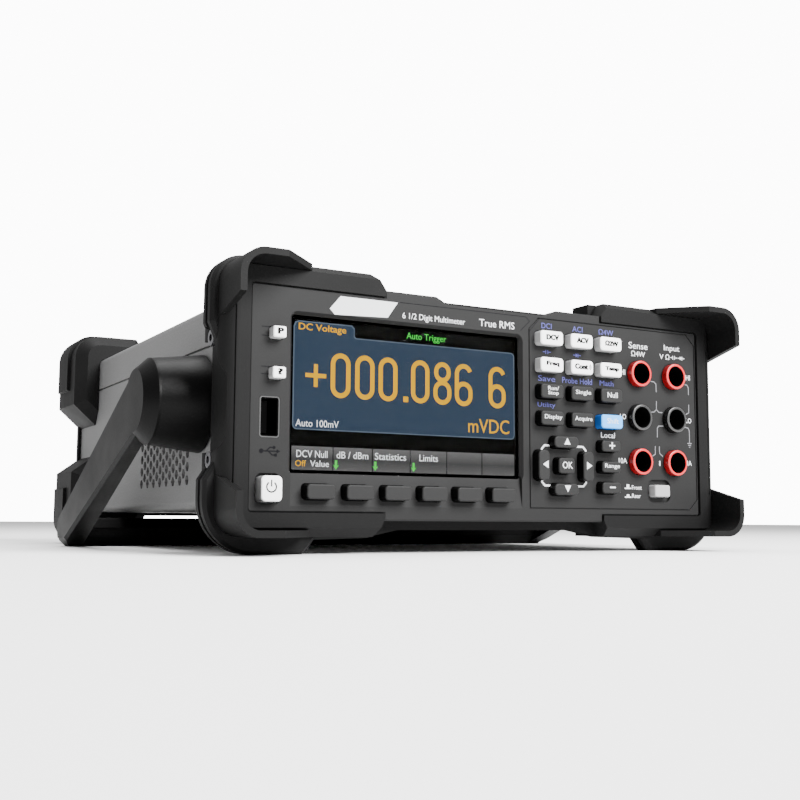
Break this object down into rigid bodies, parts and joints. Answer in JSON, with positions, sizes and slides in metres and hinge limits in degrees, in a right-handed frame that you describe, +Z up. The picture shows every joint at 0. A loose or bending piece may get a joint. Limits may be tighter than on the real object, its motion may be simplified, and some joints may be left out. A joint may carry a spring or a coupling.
{
  "type": "bench multimeter",
  "caption": "Bench multimeter with colour display, soft keys, function keys, 4 mm input jacks, rubber bumpers and a swing-down carry handle.",
  "frame": {"origin": "middle of the footprint, on the bench", "axes": "+X to the right seen from the front, +Y from the front panel to the rear, +Z up"},
  "size_m": [0.262, 0.2464, 0.104],
  "materials": {
    "bezel_plastic": "fine moulded texture",
    "bumper_rubber": "satin rubber",
    "handle_plastic": "fine moulded texture",
    "case_paint": "satin grey paint",
    "lens_clear": "clear",
    "screen_black": "gloss",
    "membrane_rubber": "matte",
    "board_green": "solder mask",
    "red_plastic": "satin",
    "black_plastic": "satin",
    "contact_brass": "plated",
    "plated_steel": "plated",
    "core_steel": "laminated",
    "white_key": "satin",
    "dark_key": "satin",
    "blue_key": "satin"
  },
  "bodies": {
    "meter": {"front_bezel": "bezel_plastic", "front_bumper": "bumper_rubber", "rear_bumper": "bumper_rubber", "top_cover": "case_paint", "chassis": "case_paint", "rear_panel": "case_paint", "display_lens": "lens_clear", "display_module": "screen_black", "keypad_membrane": "membrane_rubber", "front_board": "board_green", "red_jacks": "red_plastic", "black_jacks": "black_plastic", "jack_contacts": "contact_brass", "usb_socket": "plated_steel", "bumper_screws": "plated_steel", "rear_screws": "plated_steel", "handle_pivots": "plated_steel", "mains_inlet": "black_plastic", "fuse_drawer": "black_plastic", "rear_jacks": "black_plastic", "data_sockets": "plated_steel", "trigger_sockets": "plated_steel", "main_board": "board_green", "board_posts": "plated_steel", "shield_can": "plated_steel", "mains_transformer": "core_steel", "beeper": "black_plastic"},
    "handle": {"carry_handle": "handle_plastic"},
    "soft_key_1": {"soft_key_1": "dark_key"},
    "soft_key_2": {"soft_key_2": "dark_key"},
    "soft_key_3": {"soft_key_3": "dark_key"},
    "soft_key_4": {"soft_key_4": "dark_key"},
    "soft_key_5": {"soft_key_5": "dark_key"},
    "soft_key_6": {"soft_key_6": "dark_key"},
    "dc_volts_key": {"dc_volts_key": "white_key"},
    "ac_volts_key": {"ac_volts_key": "white_key"},
    "two_wire_ohms_key": {"two_wire_ohms_key": "white_key"},
    "frequency_key": {"frequency_key": "white_key"},
    "continuity_key": {"continuity_key": "white_key"},
    "temperature_key": {"temperature_key": "white_key"},
    "run_stop_key": {"run_stop_key": "dark_key"},
    "single_key": {"single_key": "dark_key"},
    "null_key": {"null_key": "dark_key"},
    "display_key": {"display_key": "dark_key"},
    "acquire_key": {"acquire_key": "dark_key"},
    "shift_key": {"shift_key": "blue_key"},
    "nav_up_key": {"nav_up_key": "dark_key"},
    "nav_down_key": {"nav_down_key": "dark_key"},
    "nav_left_key": {"nav_left_key": "dark_key"},
    "nav_right_key": {"nav_right_key": "dark_key"},
    "nav_ok_key": {"nav_ok_key": "dark_key"},
    "range_up_key": {"range_up_key": "dark_key"},
    "range_key": {"range_key": "dark_key"},
    "range_down_key": {"range_down_key": "dark_key"},
    "print_key": {"print_key": "white_key"},
    "help_key": {"help_key": "white_key"},
    "power_button": {"power_button": "white_key"},
    "terminal_switch": {"terminal_switch": "white_key"}
  },
  "joints": [
    {"name": "handle_swing", "type": "hinge", "parent": "meter", "child": "handle", "pos_m": [0, -0.0668, 0.0545], "axis": [-1, 0, 0], "range_deg": [0, 200]},
    {"name": "soft_key_1_press", "type": "slide", "parent": "meter", "child": "soft_key_1", "axis": [0, 1, 0], "range_m": [0, 0.001], "stiffness_N_per_m": 1000},
    {"name": "soft_key_2_press", "type": "slide", "parent": "meter", "child": "soft_key_2", "axis": [0, 1, 0], "range_m": [0, 0.001], "stiffness_N_per_m": 1000},
    {"name": "soft_key_3_press", "type": "slide", "parent": "meter", "child": "soft_key_3", "axis": [0, 1, 0], "range_m": [0, 0.001], "stiffness_N_per_m": 1000},
    {"name": "soft_key_4_press", "type": "slide", "parent": "meter", "child": "soft_key_4", "axis": [0, 1, 0], "range_m": [0, 0.001], "stiffness_N_per_m": 1000},
    {"name": "soft_key_5_press", "type": "slide", "parent": "meter", "child": "soft_key_5", "axis": [0, 1, 0], "range_m": [0, 0.001], "stiffness_N_per_m": 1000},
    {"name": "soft_key_6_press", "type": "slide", "parent": "meter", "child": "soft_key_6", "axis": [0, 1, 0], "range_m": [0, 0.001], "stiffness_N_per_m": 1000},
    {"name": "dc_volts_key_press", "type": "slide", "parent": "meter", "child": "dc_volts_key", "axis": [0, 1, 0], "range_m": [0, 0.001], "stiffness_N_per_m": 1000},
    {"name": "ac_volts_key_press", "type": "slide", "parent": "meter", "child": "ac_volts_key", "axis": [0, 1, 0], "range_m": [0, 0.001], "stiffness_N_per_m": 1000},
    {"name": "two_wire_ohms_key_press", "type": "slide", "parent": "meter", "child": "two_wire_ohms_key", "axis": [0, 1, 0], "range_m": [0, 0.001], "stiffness_N_per_m": 1000},
    {"name": "frequency_key_press", "type": "slide", "parent": "meter", "child": "frequency_key", "axis": [0, 1, 0], "range_m": [0, 0.001], "stiffness_N_per_m": 1000},
    {"name": "continuity_key_press", "type": "slide", "parent": "meter", "child": "continuity_key", "axis": [0, 1, 0], "range_m": [0, 0.001], "stiffness_N_per_m": 1000},
    {"name": "temperature_key_press", "type": "slide", "parent": "meter", "child": "temperature_key", "axis": [0, 1, 0], "range_m": [0, 0.001], "stiffness_N_per_m": 1000},
    {"name": "run_stop_key_press", "type": "slide", "parent": "meter", "child": "run_stop_key", "axis": [0, 1, 0], "range_m": [0, 0.001], "stiffness_N_per_m": 1000},
    {"name": "single_key_press", "type": "slide", "parent": "meter", "child": "single_key", "axis": [0, 1, 0], "range_m": [0, 0.001], "stiffness_N_per_m": 1000},
    {"name": "null_key_press", "type": "slide", "parent": "meter", "child": "null_key", "axis": [0, 1, 0], "range_m": [0, 0.001], "stiffness_N_per_m": 1000},
    {"name": "display_key_press", "type": "slide", "parent": "meter", "child": "display_key", "axis": [0, 1, 0], "range_m": [0, 0.001], "stiffness_N_per_m": 1000},
    {"name": "acquire_key_press", "type": "slide", "parent": "meter", "child": "acquire_key", "axis": [0, 1, 0], "range_m": [0, 0.001], "stiffness_N_per_m": 1000},
    {"name": "shift_key_press", "type": "slide", "parent": "meter", "child": "shift_key", "axis": [0, 1, 0], "range_m": [0, 0.001], "stiffness_N_per_m": 1000},
    {"name": "nav_up_key_press", "type": "slide", "parent": "meter", "child": "nav_up_key", "axis": [0, 1, 0], "range_m": [0, 0.001], "stiffness_N_per_m": 1000},
    {"name": "nav_down_key_press", "type": "slide", "parent": "meter", "child": "nav_down_key", "axis": [0, 1, 0], "range_m": [0, 0.001], "stiffness_N_per_m": 1000},
    {"name": "nav_left_key_press", "type": "slide", "parent": "meter", "child": "nav_left_key", "axis": [0, 1, 0], "range_m": [0, 0.001], "stiffness_N_per_m": 1000},
    {"name": "nav_right_key_press", "type": "slide", "parent": "meter", "child": "nav_right_key", "axis": [0, 1, 0], "range_m": [0, 0.001], "stiffness_N_per_m": 1000},
    {"name": "nav_ok_key_press", "type": "slide", "parent": "meter", "child": "nav_ok_key", "axis": [0, 1, 0], "range_m": [0, 0.001], "stiffness_N_per_m": 1000},
    {"name": "range_up_key_press", "type": "slide", "parent": "meter", "child": "range_up_key", "axis": [0, 1, 0], "range_m": [0, 0.001], "stiffness_N_per_m": 1000},
    {"name": "range_key_press", "type": "slide", "parent": "meter", "child": "range_key", "axis": [0, 1, 0], "range_m": [0, 0.001], "stiffness_N_per_m": 1000},
    {"name": "range_down_key_press", "type": "slide", "parent": "meter", "child": "range_down_key", "axis": [0, 1, 0], "range_m": [0, 0.001], "stiffness_N_per_m": 1000},
    {"name": "print_key_press", "type": "slide", "parent": "meter", "child": "print_key", "axis": [0, 1, 0], "range_m": [0, 0.001], "stiffness_N_per_m": 1000},
    {"name": "help_key_press", "type": "slide", "parent": "meter", "child": "help_key", "axis": [0, 1, 0], "range_m": [0, 0.001], "stiffness_N_per_m": 1000},
    {"name": "power_button_press", "type": "slide", "parent": "meter", "child": "power_button", "axis": [0, 1, 0], "range_m": [0, 0.001], "stiffness_N_per_m": 1000},
    {"name": "terminal_switch_press", "type": "slide", "parent": "meter", "child": "terminal_switch", "axis": [0, 1, 0], "range_m": [0, 0.0025]}
  ]
}
